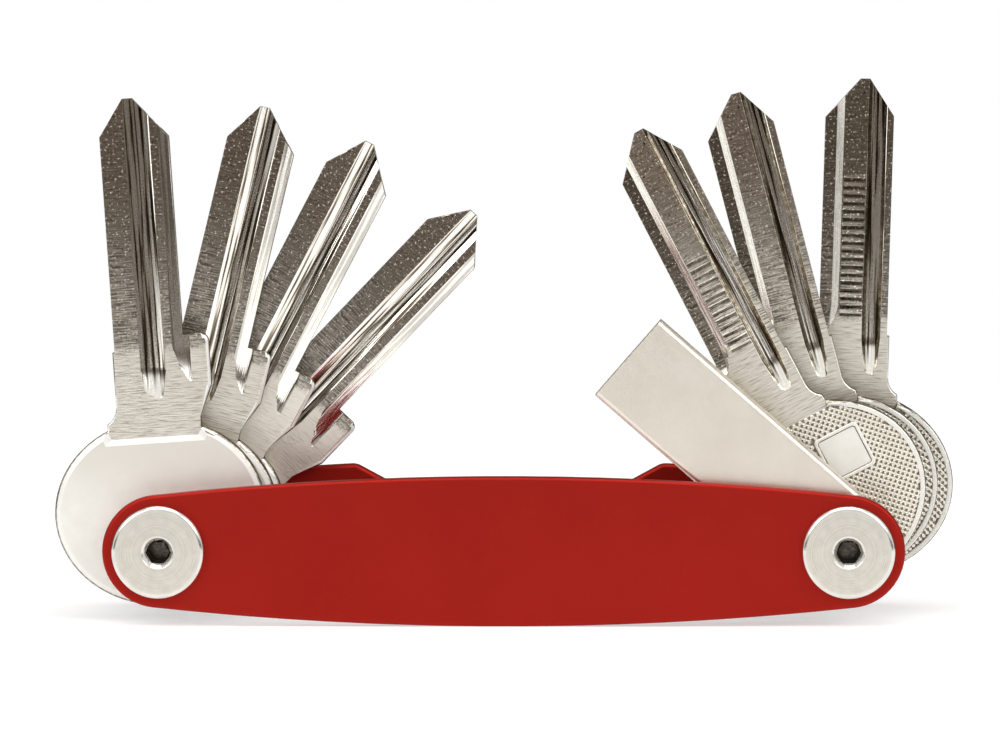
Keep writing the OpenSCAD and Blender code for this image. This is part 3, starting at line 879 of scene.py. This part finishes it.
CREST, FLANK = range(2)
blade_face = 0.9 * MM
crest_facing = 0.95
ribs = rib_tree()
rib_sizes = {"Pitch": 1.0 * MM, "Width": 2.75 * MM, "Foot": 0.86 * MM, "Crest": 0.56 * MM,
             "Height": 0.07 * MM, "Across": -0.375 * MM, "First": 28.3 * MM}
rib_counts = {1: 13, 3: 18}
for number, count in rib_counts.items():
    body = "right_key_%d" % number
    post, lean = key_frame(body)[1:]
    strip = right_strips[number]
    row = grow(ribs, body + "_ribs", {**rib_sizes, "Count": count, "Metal": strip})
    piece = add_pattern(body + "_ribs", body, [strip, right_groove],
                        [(row, face_matrix(post, lean, FRONT, blade_face))])
    for face in piece.data.polygons:
        face.material_index = CREST if abs(face.normal.y) > crest_facing else FLANK

# USB stick: a folded steel case with a satin nickel finish, open at the plug end. Inside, a black memory
# board with gold contact pads lies on a plastic carrier.

# Satin nickel of the stick's case: even, with a faint cloud and fine grain.
satin_nickel = grained("satin_nickel", dark=(0.77, 0.71, 0.62), light=(0.83, 0.775, 0.685),
                       grain=3800.0, blotch=160.0, smooth=0.34, rough=0.46, metallic=1.0, dents=0.004)
# Moulded plastic and board with a fine grain.
carrier_plastic = grained("carrier_plastic", dark=(0.06, 0.06, 0.065), light=(0.08, 0.08, 0.085),
                          grain=3000.0, blotch=300.0, smooth=0.45, rough=0.6, dents=0.006)
memory_board = grained("memory_board", dark=(0.008, 0.008, 0.009), light=(0.014, 0.014, 0.015),
                       grain=3000.0, blotch=300.0, smooth=0.3, rough=0.45, dents=0.006)
# Gold plating of the contact pads, lightly scuffed.
gold_plate = grained("gold_plate", dark=(0.66, 0.42, 0.12), light=(0.78, 0.54, 0.2),
                     grain=5000.0, blotch=700.0, smooth=0.2, rough=0.36, metallic=1.0)
stick_pieces = [
    ("usb_case", satin_nickel, "usb_metal", 0.1),
    ("usb_carrier", carrier_plastic, "carrier_plastic", 0.08),
    ("usb_board", memory_board, "board_black", 0.06),
    ("usb_contacts", gold_plate, "contact_gold", 0.03)]
for node, finish, slot, edge in stick_pieces:
    piece = soft_copy(node, edge)
    piece.data.materials.append(finish)
    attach(piece, "usb_stick")
    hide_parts(node)

# Screws: stainless socket screws that go into the sleeves from the front and close the stack. Their wide
# flat heads are turned like the sleeves' heads, with a countersunk hexagon socket.

dress_post("left_screw", left_post)
dress_post("right_screw", right_post)

# Studio: a white floor and backdrop under a white sky. The room is dark low down on the camera's side, and
# dark flags stand round the backdrop, out of view, so that bright edges get a dark line. Soft lights hang
# above and at both sides, and the floor keeps a soft shadow.

white = (1.0, 1.0, 1.0)
floor_grey = (0.6, 0.6, 0.6)
floor_glow = 0.5
floor_radius = 0.4
floor_steps = 96
floor_angles = [2 * math.pi * step / floor_steps for step in range(floor_steps)]
floor_mesh = bpy.data.meshes.new("floor")
floor_mesh.from_pydata([(floor_radius * math.cos(a), floor_radius * math.sin(a), 0) for a in floor_angles],
                       [], [tuple(range(floor_steps))])
floor = bpy.data.objects.new("floor", floor_mesh)
bpy.context.scene.collection.objects.link(floor)
floor_material, floor_tree, floor_shader = new_material("white_floor")
floor_shader.inputs["Base Color"].default_value = (*floor_grey, 1.0)
floor_shader.inputs["Roughness"].default_value = 0.9
floor_shader.inputs["Specular IOR Level"].default_value = 0.0
floor_shader.inputs["Emission Color"].default_value = (*white, 1.0)


def seen_as_background(tree):
    """1 on camera, glossy and transmission rays, which show the white background, and 0 on the rest."""
    path = tree.nodes.new("ShaderNodeLightPath").outputs
    return add_math(tree, "MAXIMUM", add_math(tree, "MAXIMUM", path["Is Camera Ray"], path["Is Glossy Ray"]),
                    path["Is Transmission Ray"])


feed(floor_tree, floor_shader.inputs["Emission Strength"],
     add_range(floor_tree, seen_as_background(floor_tree), low=0.0, high=floor_glow))
floor_mesh.materials.append(floor_material)

room_pale = (0.93, 0.93, 0.93)
room_dark = (0.13, 0.11, 0.09)
flag_dark = (0.13, 0.12, 0.105)
world = bpy.data.worlds.new("white_studio")
bpy.context.scene.world = world
world.use_nodes = True
sky = world.node_tree
direction = add_split(sky, sky.nodes.new("ShaderNodeTexCoord").outputs["Generated"])
low_down = add_fade(sky, direction["Z"], start=0.24, stop=0.07)
camera_side = add_fade(sky, direction["Y"], start=-0.12, stop=-0.42)
beside = add_fade(sky, direction["Y"], start=0.2, stop=0.32)
backdrop = add_fade(sky, direction["Y"], start=0.998, stop=0.985)
room = add_ramp(sky, add_math(sky, "MULTIPLY", low_down, camera_side), [(0.0, room_pale), (1.0, room_dark)])
flags = add_ramp(sky, add_math(sky, "MULTIPLY", beside, backdrop), [(0.0, white), (1.0, flag_dark)])
camera_ray = sky.nodes.new("ShaderNodeLightPath").outputs["Is Camera Ray"]
feed(sky, sky.nodes["Background"].inputs["Color"],
     add_mix(sky, camera_ray, add_tint(sky, room, flags), (*white, 1.0)))


def soft_light(name, place, aim, size, power):
    """A square soft light at `place`, turned to `aim`."""
    data = bpy.data.lights.new(name, "AREA")
    data.size = size
    data.energy = power
    lamp = bpy.data.objects.new(name, data)
    lamp.location = place
    lamp.rotation_euler = (Vector(aim) - Vector(place)).to_track_quat("-Z", "Y").to_euler()
    bpy.context.scene.collection.objects.link(lamp)


soft_light("overhead", place=(0.0, -0.2, 0.7), aim=(0.0, 0.0, 0.02), size=0.6, power=2.0)
soft_light("left_side", place=(-0.5, -0.5, 0.45), aim=(0.0, 0.0, 0.03), size=0.4, power=1.5)
soft_light("right_side", place=(0.5, -0.5, 0.45), aim=(0.0, 0.0, 0.03), size=0.4, power=1.5)

# Camera: a long lens a little above the object and to its right, with the posts where the photograph has
# them, at pixels (157, 554) and (848, 552) of 1000 by 750.

frame_w = 1000.0
frame_h = 750.0
pixels_per_mm = 8.1
camera_distance = 0.9
camera_down = math.radians(4.2)
camera_right = math.radians(1.9)
camera_roll = math.radians(0.166)
posts_pixel = (502.5, 553.0)
pixel_focus = pixels_per_mm / MM * camera_distance
front_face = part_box("left_screw")[0].y
posts_middle = (left_post + right_post) / 2
posts_middle.y = front_face
ahead = Vector((-math.sin(camera_right) * math.cos(camera_down),
                math.cos(camera_right) * math.cos(camera_down), -math.sin(camera_down)))
level = Vector((math.cos(camera_right), math.sin(camera_right), 0.0))
side = level * math.cos(camera_roll) - level.cross(ahead) * math.sin(camera_roll)
upward = side.cross(ahead)
to_posts = (ahead + side * ((posts_pixel[0] - frame_w / 2) / pixel_focus)
            + upward * ((frame_h / 2 - posts_pixel[1]) / pixel_focus))
camera_data = bpy.data.cameras.new("camera")
camera_data.sensor_width = 36.0
camera_data.lens = pixel_focus / frame_w * camera_data.sensor_width
camera_data.clip_start = 0.05
camera = bpy.data.objects.new("camera", camera_data)
bpy.context.scene.collection.objects.link(camera)
turn = Matrix((side, upward, -ahead)).transposed().to_4x4()
camera.matrix_world = Matrix.Translation(posts_middle - to_posts * camera_distance) @ turn
bpy.context.scene.camera = camera
bpy.context.scene.view_settings.view_transform = "Standard"
